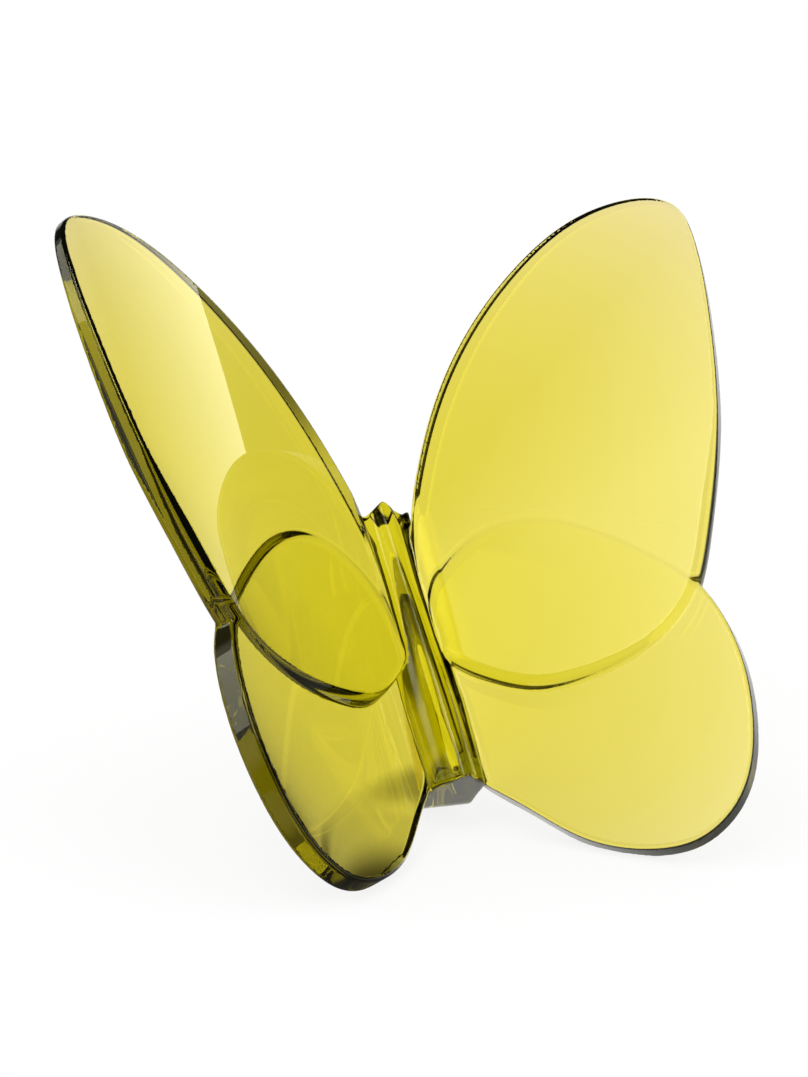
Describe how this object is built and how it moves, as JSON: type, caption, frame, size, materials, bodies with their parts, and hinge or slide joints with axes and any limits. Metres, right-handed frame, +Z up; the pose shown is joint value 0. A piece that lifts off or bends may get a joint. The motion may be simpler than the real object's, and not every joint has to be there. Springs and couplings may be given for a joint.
{
  "type": "butterfly ornament",
  "caption": "Clear coloured glass butterfly with raised, overlapping wings on a fluted body; leans back and stands on its lower wing edges and heel as a small decoration.",
  "frame": {"origin": "on the surface the butterfly stands on, in the middle of its footprint box", "axes": "+X across the wings, to the right as seen from the open front, +Y to the back, the way the butterfly leans, +Z up"},
  "size_m": [0.0734, 0.053, 0.0619],
  "materials": {
    "clear_glass": "clear, polished"
  },
  "bodies": {
    "root": {"body": "clear_glass", "forewing_left": "clear_glass", "forewing_right": "clear_glass", "hindwing_left": "clear_glass", "hindwing_right": "clear_glass"}
  },
  "joints": []
}
